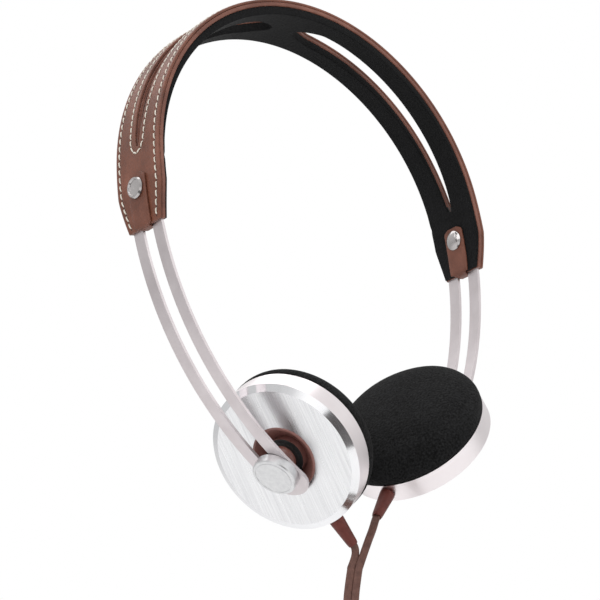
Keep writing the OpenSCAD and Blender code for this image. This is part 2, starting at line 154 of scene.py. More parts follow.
def bump(nodes, links, shader, layers):
    """Chained bumps: (height output, strength, distance in metres)."""
    normal = None
    for height, strength, distance in layers:
        b = add(nodes, "ShaderNodeBump", Strength=strength, Distance=distance)
        links.new(height, b.inputs["Height"])
        if normal:
            links.new(normal, b.inputs["Normal"])
        normal = b.outputs["Normal"]
    links.new(normal, shader.inputs["Normal"])


def spotted(name, dark, light, scale, rough, grain=(), metallic=0.0, stretch=(1, 1, 1), turn=None,
            rough_span=0.08, spread=(0.3, 0.7), **sockets):
    """A surface whose colour and roughness drift with noise, with bump grain over it."""
    m, nodes, links, bsdf = new_material(name)
    co = object_space(nodes, links, turn, stretch)
    drift = noise(nodes, links, co, scale, 4.0)
    links.new(ramp(nodes, links, drift, [(spread[0], dark), (spread[1], light)]),
              bsdf.inputs["Base Color"])
    worn = noise(nodes, links, co, scale * 2.3, 3.0)
    links.new(ramp(nodes, links, worn, [(0.3, max(rough - rough_span, 0.02)),
                                        (0.7, rough + rough_span)]), bsdf.inputs["Roughness"])
    if grain:
        bump(nodes, links, bsdf,
             [(noise(nodes, links, co, s, 3.0), strength, depth) for s, strength, depth in grain])
    bsdf.inputs["Metallic"].default_value = metallic
    for k, v in sockets.items():
        bsdf.inputs[k.replace("_", " ")].default_value = v
    return m


def leather(name, dark, mid, light, rough=0.42):
    """Finished leather: three tones, pebbled grain and a faint sheen."""
    m, nodes, links, bsdf = new_material(name)
    co = object_space(nodes, links)
    broad = noise(nodes, links, co, 55, 4.0)
    fine = noise(nodes, links, co, 900, 3.0)
    mixed = add(nodes, "ShaderNodeMath", operation="MULTIPLY_ADD")
    mixed.inputs[1].default_value = 0.3
    links.new(fine, mixed.inputs[0])
    links.new(broad, mixed.inputs[2])
    links.new(ramp(nodes, links, mixed.outputs[0], [(0.42, dark), (0.62, mid), (0.85, light)]),
              bsdf.inputs["Base Color"])
    links.new(ramp(nodes, links, fine, [(0.3, rough - 0.07), (0.7, rough + 0.12)]),
              bsdf.inputs["Roughness"])
    cells = add(nodes, "ShaderNodeTexVoronoi", Scale=1500, feature="F1")
    links.new(co, cells.inputs["Vector"])
    bump(nodes, links, bsdf, [(broad, 0.25, 0.0006), (cells.outputs["Distance"], 0.35, 0.00012),
                              (fine, 0.25, 0.0001)])
    bsdf.inputs["Specular IOR Level"].default_value = 0.38
    bsdf.inputs["Sheen Weight"].default_value = 0.04
    bsdf.inputs["Sheen Roughness"].default_value = 0.4
    return m


def velvet(name, dark, light, scale, sheen, depth):
    """A pitted, light-swallowing surface, for velour and open foam."""
    m, nodes, links, bsdf = new_material(name)
    co = object_space(nodes, links)
    fine = noise(nodes, links, co, scale, 2.0)
    broad = noise(nodes, links, co, 60, 3.0)
    mixed = add(nodes, "ShaderNodeMath", operation="MULTIPLY_ADD")
    mixed.inputs[1].default_value = 0.35
    links.new(broad, mixed.inputs[0])
    links.new(fine, mixed.inputs[2])
    links.new(ramp(nodes, links, mixed.outputs[0], [(0.5, dark), (0.85, light)]),
              bsdf.inputs["Base Color"])
    pits = add(nodes, "ShaderNodeTexVoronoi", Scale=scale * 0.8, feature="F1")
    links.new(co, pits.inputs["Vector"])
    bump(nodes, links, bsdf, [(pits.outputs["Distance"], 0.6, depth), (fine, 0.5, depth)])
    bsdf.inputs["Roughness"].default_value = 0.95
    bsdf.inputs["Specular IOR Level"].default_value = 0.2
    bsdf.inputs["Sheen Weight"].default_value = sheen
    bsdf.inputs["Sheen Roughness"].default_value = 0.5
    return m


def cup_turn(side):
    """Euler turn that takes object space into a cup's brushed lines, unmirrored."""
    m = cup_matrix(side).to_3x3() @ Matrix.Rotation(math.radians(BRUSH_TURN), 3, "Z")
    if SIDES[side]["sign"] < 0:
        m = m @ Matrix.Diagonal((1, -1, 1))
    return m.inverted().to_euler()


def cup_matrix(side):
    """Frame of a cup, with its origin in the ball: x down the fork, z inward, in metres."""
    s = SIDES[side]
    a = math.radians(s["angle"])
    at = Vector((SIDE_X + (SIDE_R - BALL_DEPTH) * math.sin(a), 0,
                 SIDE_Z + (SIDE_R - BALL_DEPTH) * math.cos(a))) * MM
    m = Matrix.Translation(at) @ Matrix.Rotation(a, 4, "Y") @ Matrix.Rotation(math.pi, 4, "X")
    m = m @ Matrix.Rotation(-math.radians(s["tilt"]), 4, "Y")
    m = m @ Matrix.Rotation(-math.radians(s["turn"]), 4, "X")
    if s["sign"] < 0:
        m = Matrix.Diagonal((-1, 1, 1, 1)) @ m
    return m


def paint(material, *names):
    """Puts one material on CAD nodes."""
    for n in names:
        mesh = NODES[n].data
        mesh.materials.clear()
        mesh.materials.append(material)


# ---- mesh helpers ----
def make(name, verts, faces, material, body, sharp=40, weld=0.0):
    """A smooth-shaded mesh in metres from millimetre points, riding on a body."""
    mesh = bpy.data.meshes.new(name)
    mesh.from_pydata([tuple(c * MM for c in v) for v in verts], [], faces)
    o = bpy.data.objects.new(name, mesh)
    bpy.context.scene.collection.objects.link(o)
    bm = bmesh.new()
    bm.from_mesh(mesh)
    if weld:
        bmesh.ops.remove_doubles(bm, verts=bm.verts, dist=weld * MM)
        bmesh.ops.dissolve_degenerate(bm, dist=1e-7, edges=bm.edges)
    loose = [v for v in bm.verts if not v.link_faces]
    bmesh.ops.delete(bm, geom=loose, context="VERTS")
    bmesh.ops.recalc_face_normals(bm, faces=bm.faces)
    bm.to_mesh(mesh)
    bm.free()
    for p in mesh.polygons:
        p.use_smooth = True
    mesh.set_sharp_from_angle(angle=math.radians(sharp))
    mesh.materials.append(material)
    if body:
        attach(o, body)
    return o


def band_point(s, y, h):
    """Point on the headband: s along it from the top centre, y across, h out of the mid-plane."""
    a = abs(s)
    if a <= ARCH_S:
        t, r, cx, cz = a / TOP_R, TOP_R + h, 0.0, TOP_Z
    else:
        t = math.radians(TOP_HALF) + (a - ARCH_S) / SIDE_R
        r, cx, cz = SIDE_R + h, SIDE_X, SIDE_Z
    return (math.copysign(cx + r * math.sin(t), s), y, cz + r * math.cos(t))


def band_half(s):
    """Half width of the leather at s, easing into its tapered ends."""
    past = (abs(s) - (END_S - TAPER)) / TAPER
    return HALF_W - (HALF_W - END_HALF) * max(past, 0.0) ** 1.15


def slot_half(s):
    """Half width of the slots at s; 0 where the leather is whole."""
    near_high = abs(s) - TOP_R * SLOT_HIGH
    near_low = TOP_R * SLOT_LOW[1 if s > 0 else -1] - abs(s)
    if near_high <= 0 or near_low <= 0:
        return 0.0
    return SLOT_TIP + (SLOT_HALF - SLOT_TIP) * min(min(near_high / SLOT_ROUND, 1) ** 0.6,
                                                   min(near_low / SLOT_TAPER, 1) ** 0.5)


def edge_steps(r, steps=4):
    """(distance from an edge, drop of the surface) down a rounded edge of radius r."""
    return [(r * (1 - math.cos(a)), r * (1 - math.sin(a)))
            for a in (math.pi / 2 * k / steps for k in range(steps + 1))]


def band_layer(name, low, high, inset, r, material, cols=22, step=1.5, dent=None,
               grow=0.0):
    """A closed strap between the heights low(s, y) and high(s, y), with slots and round edges.
    It lies inset from the band's outline; r rounds its edges, dent sinks its top and grow
    widens its slots."""
    reach = END_S - inset * 0.5
    tips = [sign * TOP_R * a for sign in (-1, 1) for a in (SLOT_HIGH, SLOT_LOW[sign])]
    near_tips = [t + d for t in tips for d in (-2, -1, -0.4, -0.05, 0.05, 0.4, 1, 2)]
    even = np.arange(0, reach, step)
    line = sorted({round(x, 4) for x in [*even, *-even, -reach, reach, *near_tips]})
    verts, faces = [], []
    rings = []
    for s in line:
        inner, outer = slot_half(s), band_half(s) - inset
        inner = inner + grow if inner > 0 else 0.0
        ri = min(r, inner * 0.9)
        row = []
        for sign in (-1, 1):
            ys = [(inner + d, drop) for d, drop in edge_steps(max(ri, 1e-5))]
            a, b = inner + ri, outer - r
            ys += [(a + (b - a) * k / cols, 0.0) for k in range(1, cols)]
            ys += [(outer - d, drop) for d, drop in reversed(edge_steps(r))]
            top, bottom = [], []
            for y, drop in ys:
                y *= sign
                lo, hi = low(s, y), high(s, y)
                drop = min(drop, (hi - lo) * 0.48)
                sunk = dent(s, y) if dent else 0.0
                top.append(len(verts))
                verts.append(band_point(s, y, hi - drop - sunk))
                bottom.append(len(verts))
                verts.append(band_point(s, y, lo + drop))
            row.append((top, bottom, inner))
        rings.append(row)
    for a, b in zip(rings, rings[1:]):
        for (t0, b0, i0), (t1, b1, i1) in zip(a, b):
            n = len(t0)
            for k in range(n - 1):
                faces.append((t0[k], t0[k + 1], t1[k + 1], t1[k]))
                faces.append((b0[k], b1[k], b1[k + 1], b0[k + 1]))
            faces.append((t0[-1], b0[-1], b1[-1], t1[-1]))
            if i0 > 0 or i1 > 0:
                faces.append((t0[0], t1[0], b1[0], b0[0]))
    for row in (rings[0], rings[-1]):
        for t, b, _ in row:
            for k in range(len(t) - 1):
                faces.append((t[k], b[k], b[k + 1], t[k + 1]))
    return make(name, verts, faces, material, "headband", sharp=50, weld=0.004)


def tube(verts, faces, points, wides, half_w, half_t):
    """Adds a closed flat tube: one rounded ring per point, wides giving its width's direction.
    half_w and half_t may be numbers or one value per point."""
    n, sides = len(points), 12
    half_w, half_t = np.broadcast_to(half_w, n), np.broadcast_to(half_t, n)
    squareness = 0.5  # between a circle, 1, and a box, 0
    first = len(verts)
    P = np.array(points, float)
    for k in range(n):
        run = P[min(k + 1, n - 1)] - P[max(k - 1, 0)]
        run /= np.linalg.norm(run)
        w = np.array(wides[k], float)
        w = w - run * w.dot(run)
        w /= np.linalg.norm(w)
        t = np.cross(run, w)
        for j in range(sides):
            a = 2 * math.pi * (j + 0.5) / sides
            c, s = math.cos(a), math.sin(a)
            c = math.copysign(abs(c) ** squareness, c)
            s = math.copysign(abs(s) ** squareness, s)
            verts.append(tuple(P[k] + w * c * half_w[k] + t * s * half_t[k]))
    for k in range(n - 1):
        for j in range(sides):
            m = (j + 1) % sides
            a, b = first + k * sides, first + (k + 1) * sides
            faces.append((a + j, b + j, b + m, a + m))
    faces.append(tuple(first + j for j in range(sides)))
    faces.append(tuple(first + (n - 1) * sides + j for j in reversed(range(sides))))


def spline(points, per=8):
    """Catmull-Rom points through the given ones."""
    p = [np.array(q, float) for q in points]
    out = []
    for i in range(len(p) - 1):
        a, b, c, d = p[max(i - 1, 0)], p[i], p[i + 1], p[min(i + 2, len(p) - 1)]
        for k in range(per):
            u = k / per
            out.append(0.5 * (2 * b + (c - a) * u + (2 * a - 5 * b + 4 * c - d) * u * u
                              + (3 * b - a - 3 * c + d) * u ** 3))
    return out + [p[-1]]


def spaced(points, gap):
    """The same line, resampled at an even gap."""
    P = np.array(points)
    run = np.concatenate([[0], np.cumsum(np.linalg.norm(np.diff(P, axis=0), axis=1))])
    at = np.linspace(0, run[-1], max(int(round(run[-1] / gap)), 2) + 1)
    return np.stack([np.interp(at, run, P[:, k]) for k in range(3)], axis=1)


# ---- cord, first ----
LEAD_HALF, LEAD_THICK = 1.5, 0.8  # half the lead's width, half its thickness
GLAND_Z, RELIEF_END = 4.0, CUP_R + 12.5  # depth of the relief in its cup, and its tip
LEAD_IN = 9.0  # how far the lead reaches into its relief
LEAD_GAP, TWIN_GAP = 0.5, 1.5  # between points of the lead's line and of the twin's
LEAD_STOPS = {"left": (1.5, 5.0), "right": (3.5, 13.0)}  # past the relief, where its lengths meet
BONDED = 22.0  # how far the right lead is followed into the twin cord
LEFT_ROUTE = [(-2.2, 0.6, -217), (-1, 0.8, -219), (-0.9, 1.3, -221.4), (-1.8, 1.9, -224),
              (-3.4, 2.5, -227)]
RIGHT_ROUTE = [(11.2, -1.4, -205.9), (9.4, -1.6, -208.2), (6.8, -2.1, -212), (3.8, -2, -216.6),
               (1.2, -1.2, -221.6), (-0.8, 0.1, -226.4)]
TRUNK_ROUTE = [(-2.2, 1.3, -227.1), (-3.3, 2.2, -232), (-4.8, 3.4, -240), (-5.2, 3.4, -249)]
TAIL_ROUTE = [(17.2, 1.6, -300), (19, 1.6, -302), (23, 1.6, -306), (27.5, 1.6, -309.5),
              (31, 1.6, -314), (32, 1.6, -320)]
FLAT_DIR = np.array([0.74, -0.67, 0])  # width of the flat cord near the cups
FLAT_UNTIL, FLAT_TURN = -247, 14  # height where it begins to turn to the front, and over what
HANK_TOP, HANK_LEN, HANK_W = -258.0, 140.0, 40.0
HANK_X, HANK_Y = -2.6, 1.6
HANK_EDGE = 0.9  # from the hank's outline to its outer turn's middle
TURN_GAP = 6.2  # between two turns side by side
LAYER_GAP = 3.4  # between an inner and an outer turn


def hank_turn(r, y0, y1):
    """A turn of the hank, down from the middle of its right run, moving from y0 to y1."""
    top, low = HANK_TOP - HANK_W / 2, HANK_TOP - HANK_LEN + HANK_W / 2
    run, bend, steps = top - low, math.pi * r, 56
    move_from, move_over = 0.3, 0.4  # shares of the turn
    out = []
    for k in range(steps + 1):
        f = k / steps
        d = f * (2 * run + 2 * bend)
        y = y0 + (y1 - y0) * min(max((f - move_from) / move_over, 0), 1)
        if d < run / 2:
            x, z = -r, (top + low) / 2 + d
        elif d < run / 2 + bend:
            a = (d - run / 2) / r
            x, z = -r * math.cos(a), top + r * math.sin(a)
        elif d < 1.5 * run + bend:
            x, z = r, top - (d - run / 2 - bend)
        elif d < 1.5 * run + 2 * bend:
            a = (d - 1.5 * run - bend) / r
            x, z = r * math.cos(a), low - r * math.sin(a)
        else:
            x, z = -r, low + (d - 1.5 * run - 2 * bend)
        out.append((HANK_X - x, y, top + low - z))
    return out


def relaxed(points, rounds, gap=TWIN_GAP):
    """The line resampled and smoothed, with its ends where they were."""
    P = spaced(points, gap)
    for _ in range(rounds):
        P[1:-1] = 0.25 * P[:-2] + 0.5 * P[1:-1] + 0.25 * P[2:]
    return P


def lead_line(side, route):
    """A lead's line from inside its relief, and the steps along it where its lengths meet."""
    inside = [cup_matrix(side) @ Vector((x * MM, 0, GLAND_Z * MM)) / MM
              for x in (RELIEF_END - LEAD_IN, RELIEF_END - LEAD_IN / 2)]
    line = relaxed(spline([*(tuple(p) for p in inside), *route], 6), 1, LEAD_GAP)
    return line, [round((LEAD_IN + d) / LEAD_GAP) for d in (0, *LEAD_STOPS[side])]


def lead_roots(side, line, tip, turned, tilted):
    """The lead's first two lengths, as two pieces: one up to the turn step and the next up to the
    tilt step.
    """
    pieces = []
    for name, first, low, high, above, below in (
            ("turn", 0, tip, turned, "cup_", "race_"),
            ("tilt", turned, turned, tilted, "race_", "fork_")):
        verts, faces = [], []
        points = line[first:high + 1]
        tube(verts, faces, points, [FLAT_DIR] * len(points), LEAD_HALF, LEAD_THICK)
        o = make(f"lead_{name}_{side}", verts, faces, CORD, None, sharp=60)
        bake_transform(o)
        pieces.append(o)
    return pieces


def twin_line():
    """The twin cord's middle line, through trunk, hank and tail, and its width's directions."""
    front, back = HANK_Y - TURN_GAP / 2, HANK_Y + TURN_GAP / 2
    outer = HANK_W / 2 - HANK_EDGE
    inner = outer - LAYER_GAP
    right_x = HANK_X + inner
    twin = spline([*TRUNK_ROUTE, (-3, -2.4, -254), (-3.2, -6, -259.5), (-0.2, -6.6, -265),
                   (3.8, -4.6, -274), (9.8, -2.6, -286), (right_x - 1, front, -302),
                   (right_x, front, HANK_TOP - HANK_LEN / 2)], 6)
    for r, y0, y1 in ((inner, front, back), (inner, back, back), (outer, back, front),
                      (outer, front, front)):
        twin += hank_turn(r, y0, y1)[1:]
    while twin[-1][2] < TAIL_ROUTE[0][2] + 6:  # the last turn ends where the tail leaves it
        twin.pop()
    twin = relaxed([*twin, *spline(TAIL_ROUTE[1:], 5)], 3)
    wides, turned = [], 0.0
    for p in twin:
        turned = max(turned, min(max((FLAT_UNTIL - p[2]) / FLAT_TURN, 0), 1))
        wides.append(FLAT_DIR * (1 - turned) + np.array([0, -1, 0]) * turned)
    return twin, np.array(wides) / np.linalg.norm(wides, axis=1)[:, None]


def main_cord(left_half, right_half, wides):
    """The left lead below its first lengths, and the whole twin cord."""
    line, stops = lead_line("left", LEFT_ROUTE)
    roots = lead_roots("left", line, *stops)
    lead = line[stops[-1]:]
    verts, faces = [], []
    tube(verts, faces, np.vstack([lead[:-1], left_half]),
         [FLAT_DIR] * (len(lead) - 1) + list(wides), LEAD_HALF, LEAD_THICK)
    tube(verts, faces, right_half, list(wides), LEAD_HALF, LEAD_THICK)
    main = make("cord_main", verts, faces, CORD, None, sharp=60)
    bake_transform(main)
    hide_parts("lead_left", "twin_cord", "cord_hank", "cord_tail")


def right_cord(right_half):
    """The right lead below its first lengths; it runs on inside the twin's right half."""
    line, stops = lead_line("right", [*RIGHT_ROUTE, tuple(right_half[0])])
    roots = lead_roots("right", line, *stops)
    lead = line[stops[-1]:]
    joined = right_half[1:round(BONDED / TWIN_GAP)]
    points = np.vstack([lead, joined])
    narrowed = np.array([1.0] * (len(lead) - 1) + [0.9] * (len(joined) + 1))
    verts, faces = [], []
    tube(verts, faces, points, [FLAT_DIR] * len(points), LEAD_HALF * narrowed,
         LEAD_THICK * narrowed)
    right = make("cord_right_lead", verts, faces, CORD, None, sharp=60)
    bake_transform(right)
    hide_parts("lead_right")


CORD = spotted("cord_jacket", (0.085, 0.038, 0.029), (0.14, 0.066, 0.05), 500, 0.55,
               grain=((1400, 0.25, 0.0001),), Specular_IOR_Level=0.3)
trunk, trunk_wides = twin_line()
from_middle = trunk_wides * (LEAD_HALF + 0.02)  # each half lies a hair beside the middle line
main_cord(trunk - from_middle, trunk + from_middle, trunk_wides)
right_cord(trunk + from_middle)


# ---- finishes ----
LEATHER = leather("leather", (0.085, 0.026, 0.013), (0.135, 0.044, 0.024), (0.2, 0.07, 0.042))
EDGE = leather("leather_edge", (0.1, 0.033, 0.02), (0.155, 0.055, 0.035), (0.23, 0.092, 0.062),
               0.36)
TAB = leather("leather_tab", (0.08, 0.024, 0.012), (0.125, 0.04, 0.022), (0.18, 0.062, 0.037))
VELOUR = velvet("velour", (0.0015, 0.0015, 0.0017), (0.007, 0.007, 0.0075), 1300, 0.03, 0.0002)
FOAM = velvet("foam", (0.0001, 0.0001, 0.0001), (0.014, 0.014, 0.0147), 1300, 0.003, 0.0005)
THREAD = spotted("thread", (0.5, 0.46, 0.39), (0.74, 0.7, 0.62), 900, 0.75,
                 grain=((2600, 0.5, 0.0002),))
# the needle holes' dark colour is painted shade in the holes
HOLE_SHADE = spotted("needle_hole_shade", (0.008, 0.004, 0.003), (0.02, 0.01, 0.008), 700, 0.8)
STEEL = spotted("satin_steel", (0.58, 0.53, 0.54), (0.66, 0.61, 0.62), 90, 0.36, metallic=1.0,
                grain=((3000, 0.06, 0.00003),), rough_span=0.03)
NICKEL = spotted("polished_nickel", (0.42, 0.4, 0.395), (0.52, 0.495, 0.49), 90, 0.16,
                 metallic=1.0, rough_span=0.02)
WALL = spotted("satin_aluminium", (0.85, 0.79, 0.8), (0.89, 0.84, 0.85), 40, 0.3,
               metallic=1.0, rough_span=0.02)
CHAMFER = spotted("cut_chamfer", (0.84, 0.84, 0.86), (0.9, 0.9, 0.91), 60, 0.12,
                  metallic=1.0, rough_span=0.02)
CAP = spotted("cap_aluminium", (0.62, 0.62, 0.63), (0.72, 0.72, 0.725), 500, 0.3, metallic=1.0,
              grain=((2500, 0.03, 0.00003),), rough_span=0.03)
BROWN = spotted("brown_plastic", (0.175, 0.074, 0.063), (0.24, 0.106, 0.09), 260, 0.34,
                grain=((1600, 0.12, 0.00006),))
BALL = spotted("ball_plastic", (0.15, 0.054, 0.042), (0.21, 0.08, 0.063), 260, 0.3,
               grain=((1600, 0.1, 0.00005),))
RELIEF = spotted("relief_rubber", (0.09, 0.017, 0.012), (0.13, 0.028, 0.02), 300, 0.46,
                 grain=((1500, 0.3, 0.0001),), Specular_IOR_Level=0.3)
BLACK = spotted("black_plastic", (0.008, 0.008, 0.008), (0.02, 0.02, 0.02), 300, 0.5,
                grain=((1800, 0.25, 0.0001),))
PLATED = spotted("plated_contacts", (0.7, 0.68, 0.62), (0.82, 0.8, 0.74), 300, 0.2, metallic=1.0)
SPRING = spotted("spring_steel", (0.5, 0.5, 0.52), (0.62, 0.62, 0.64), 200, 0.35, metallic=1.0)
CARD = spotted("fibre_board", (0.3, 0.23, 0.15), (0.42, 0.34, 0.24), 400, 0.8)
FELT = spotted("felt", (0.05, 0.05, 0.055), (0.1, 0.1, 0.105), 900, 0.95)
FILM = spotted("film", (0.5, 0.4, 0.22), (0.62, 0.5, 0.3), 300, 0.3)
SOLDER_BOARD = spotted("solder_board", (0.01, 0.09, 0.04), (0.02, 0.14, 0.06), 300, 0.35)
TIE = spotted("tie_fabric", (0.02, 0.016, 0.013), (0.05, 0.04, 0.034), 900, 0.9,
              grain=((2200, 0.6, 0.0002),))
FACES = {side: spotted("brushed_face_" + side, (0.7, 0.7, 0.715), (0.86, 0.86, 0.87), 1500,
                       0.3, metallic=1.0, stretch=(0.02, 1, 1), turn=cup_turn(side),
                       grain=((2200, 0.14, 0.00006), (380, 0.05, 0.00012)), spread=(0.3, 0.72),
                       rough_span=0.05)
         for side in SIDES}

for side in SIDES:
    paint(STEEL, "fork_" + side)
    paint(CAP, "pivot_cap_" + side)
    paint(BALL, "ball_" + side)
    paint(BROWN, "funnel_" + side)
    paint(RELIEF, "relief_" + side)
    paint(NICKEL, "rivet_" + side, "rivet_cap_" + side)
    paint(BLACK, *(n + side for n in ("guide_", "chassis_", "baffle_", "clamp_", "race_",
                                      "grille_", "driver_")))
    paint(SPRING, "screws_" + side, "magnet_" + side)
    paint(FELT, "felt_" + side)
    paint(FILM, "diaphragm_" + side)
    paint(SOLDER_BOARD, "terminal_" + side)
    shell = NODES["shell_" + side]
    shell.data.materials.clear()
    for m in (WALL, CHAMFER, FACES[side]):
        shell.data.materials.append(m)
    back = cup_matrix(side).inverted()
    for poly in shell.data.polygons:  # 0 for the wall, 1 for the chamfer, 2 for the face
        x, y, z = (c / MM for c in back @ poly.center)
        radius = math.hypot(x, y)
        on_face = radius < FACE_R and z < FACE_Z
        outside = z < FACE_Z + 0.1 or (radius > BEVEL_R and z < BEVEL_Z)
        poly.material_index = 2 if on_face else 1 if outside else 0
    socket = NODES["chassis_" + side].data
    socket.materials.append(BROWN)
    # inside the socket radius the chassis stays black: painted shade in the gap between ball and
    # funnel
    for poly in socket.polygons:
        x, y, z = (c / MM for c in back @ poly.center)
        poly.material_index = 1 if z < SOCKET_Z and math.hypot(x, y) > SOCKET_SHADE_R else 0
paint(SPRING, "headband_spring")
paint(CARD, "headband_board")
paint(RELIEF, "plug_relief")
paint(BROWN, "plug_body")
paint(PLATED, "plug_contacts")
paint(TIE, "cord_tie")

# ---- leather, in two layers, with sewn grooves ----
EDGE_STITCH, SLOT_STITCH = 2.3, 2.4  # from an edge to the seam beside it
SEAM_ABOVE, SEAM_BELOW = 2.6, 3.0  # how far a slot's seam runs past its two ends
SEAM_ROUND = 4.2  # over which a seam closes round a slot's end
SEAM_BULGE, BULGE_RUN = 0.5, 7.0  # the seam stands off a little more at the low end
SKIN_IN = 0.86  # inner face of the outer leather, from the mid-plane
CORE_TOP, CORE_BOTTOM = 0.82, -0.92
LINING_TOP = -0.96


def slot_seam(sign):
    """The (s, y) loop of the seam round the slot on one side."""
    high_end, low_end = TOP_R * SLOT_HIGH, TOP_R * SLOT_LOW[sign]
    first, last = high_end - SEAM_ABOVE, low_end + SEAM_BELOW
    half = []
    for s in [*np.linspace(first, high_end + 5, 20), *np.linspace(high_end + 6, low_end - 6, 80),
              *np.linspace(low_end - 5, last, 20)]:
        closing = math.sqrt(1 - (1 - min(min(s - first, last - s) / SEAM_ROUND, 1)) ** 2)
        bulge = SEAM_BULGE * math.exp(-((low_end - s) / BULGE_RUN) ** 2)
        half.append((s, closing * (max(slot_half(sign * s), SLOT_TIP) + SLOT_STITCH + bulge)))
    loop = half + [(s, -y) for s, y in half[-2:0:-1]] + [half[0]]
    return [(sign * s, y) for s, y in loop]


SLOT_LINES = [slot_seam(sign) for sign in (-1, 1)]
EDGE_LINES = [[(s, sign * (band_half(s) - EDGE_STITCH))
               for s in np.linspace(-END_S + 1.5, END_S - 1.5, 240)] for sign in (-1, 1)]
SEAM_POINTS = np.array([p for line in SLOT_LINES for p in line])


def groove(s, y):
    """How far the thread pulls the skin down; beside the groove the skin swells a little."""
    d = abs(abs(y) - (band_half(s) - EDGE_STITCH))
    near = SEAM_POINTS[np.abs(SEAM_POINTS[:, 0] - s) < 3]
    if len(near):
        d = min(d, float(np.hypot(near[:, 0] - s, near[:, 1] - y).min()))
    depth, width = 0.2, 0.55
    swell, swell_at, swell_width = 0.06, 1.4, 0.7
    return (depth * math.exp(-(d / width) ** 2)
            - swell * math.exp(-((d - swell_at) / swell_width) ** 2))


def pad_depth(s):
    """Thickness of the padding at s, as in the CAD."""
    drop = (PAD_T - LINING_T) / (1 - math.cos(math.radians(TOP_HALF)))
    a = min(abs(s) / TOP_R, math.radians(TOP_HALF))
    outer = TOP_R - CORE_HALF
    inner = outer - PAD_T + drop
    full = outer - (math.sqrt(inner ** 2 - (drop * math.sin(a)) ** 2) - drop * math.cos(a))
    crease_depth, crease_at, crease_width, least = 0.35, RIVET_S - 9.5, 1.1, 0.45
    crease = crease_depth * math.exp(-((abs(s) - crease_at) / crease_width) ** 2)
    return max(full - crease, least)


band_layer("headband_skin", lambda s, y: SKIN_IN, lambda s, y: SKIN_OUT, 0.0, 0.5, LEATHER,
           cols=26, step=1.2, dent=groove)
band_layer("headband_core", lambda s, y: CORE_BOTTOM, lambda s, y: CORE_TOP, 0.05, 0.55, EDGE,
           cols=6, step=2.0)
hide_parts("headband_leather")
lining = band_layer("headband_lining", lambda s, y: LINING_TOP - 0.01 - pad_depth(s),
                    lambda s, y: LINING_TOP, 0.5, 0.42, VELOUR, cols=14, step=1.6,
                    grow=0.15)
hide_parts("headband_pad")


# ---- stitches ----
THREAD_SEAT = SKIN_OUT - 0.1  # height of the thread's seat in its groove


def walk(line, pitch):
    """Even (s, y) stops along a line in the band's own plane."""
    P = np.array(line, float)
    run = np.concatenate([[0], np.cumsum(np.linalg.norm(np.diff(P, axis=0), axis=1))])
    n = max(int(round(run[-1] / pitch)), 1)
    at = np.linspace(0, run[-1], n + 1)
    return np.stack([np.interp(at, run, P[:, k]) for k in range(2)], axis=1)


def stitch(verts, faces, a, b, fill, radius, slant):
    """Adds one stitch: a thread that comes up at a, lies a little askew and goes down at b."""
    rings, sides = 7, 6
    d = (b - a) / np.linalg.norm(b - a)
    across = np.array([-d[1], d[0]]) * slant * (0.7 + 0.6 * random.random())
    mid, reach = (a + b) / 2, (b - a) / 2 * fill
    first = len(verts)
    for k in range(rings):
        u = -1 + 2 * k / (rings - 1)
        s, y = mid + reach * u + across * u
        lift = 0.16 - 0.5 * u ** 6 + 0.05 * (1 - u * u)  # both ends dive into their holes
        r = radius * (1 - 0.5 * u ** 6)
        for j in range(sides):
            t = 2 * math.pi * j / sides
            out = np.array([-d[1], d[0]]) * math.cos(t) * r
            verts.append(band_point(s + out[0], y + out[1],
                                    THREAD_SEAT + lift + math.sin(t) * r * 0.8))
    for k in range(rings - 1):
        for j in range(sides):
            m = (j + 1) % sides
            c, e = first + k * sides, first + (k + 1) * sides
            faces.append((c + j, e + j, e + m, c + m))
    faces.append(tuple(first + j for j in range(sides)))
    faces.append(tuple(first + (rings - 1) * sides + j for j in reversed(range(sides))))


def needle_hole(verts, faces, s, y):
    """Adds one needle hole: a low dish with its rim sunk in the leather, coloured dark as painted
    shade in the hole.
    """
    sides = 8
    first = len(verts)
    for r, h in ((0.42, -0.1), (0.2, -0.02)):
        for j in range(sides):
            t = 2 * math.pi * j / sides
            verts.append(band_point(s + r * math.cos(t), y + r * math.sin(t), THREAD_SEAT + h))
    faces += [(first + j, first + (j + 1) % sides, first + sides + (j + 1) % sides,
               first + sides + j) for j in range(sides)]
    faces.append(tuple(first + sides + j for j in range(sides)))
    faces.append(tuple(first + j for j in reversed(range(sides))))


def sew(name, lines, pitch, fill, radius, slant):
    """Stitches and their needle holes along the lines; fill is the stitch's share of its pitch."""
    verts, faces, holes, hole_faces = [], [], [], []
    for line in lines:
        stops = walk(line, pitch)
        for a, b in zip(stops, stops[1:]):
            stitch(verts, faces, a, b, fill, radius, slant)
        for s, y in stops:
            needle_hole(holes, hole_faces, s, y)
    make(name, verts, faces, THREAD, "headband", sharp=80)
    make(name + "_holes", holes, hole_faces, HOLE_SHADE, "headband")


sew("edge_stitches", EDGE_LINES, 3.3, 0.84, 0.36, 0.16)
sew("slot_stitches", SLOT_LINES, 3.0, 0.9, 0.34, 0.02)


# ---- leather tabs folded round the band's ends ----
TAB_HALF, TAB_THICK = 5.25, 0.5  # half its width, half its thickness
TAB_OUT, TAB_IN = 0.05, 0.2  # its gaps to the outer leather and to the lining
TAB_ABOVE = 5.6  # from the rivet to the tab's upper end
TAB_CORNER = 2.5
FOLD_IN = 0.4  # from the fold to the band's end
FOLD_HALF, FOLD_WAIST = 4.95, 2.75  # half widths at the fold's start and where it pinches
FOLD_OUT = 0.42  # how far the fold stands out, as a share of a round one
TAB_NARROWS = 5.0  # above the band's end, where it begins to narrow to the fold
TAB_EDGE = 0.4
PRESS_IN, PRESS_DEPTH, PRESS_WIDTH = 1.1, 0.12, 0.3  # the line pressed along its edges


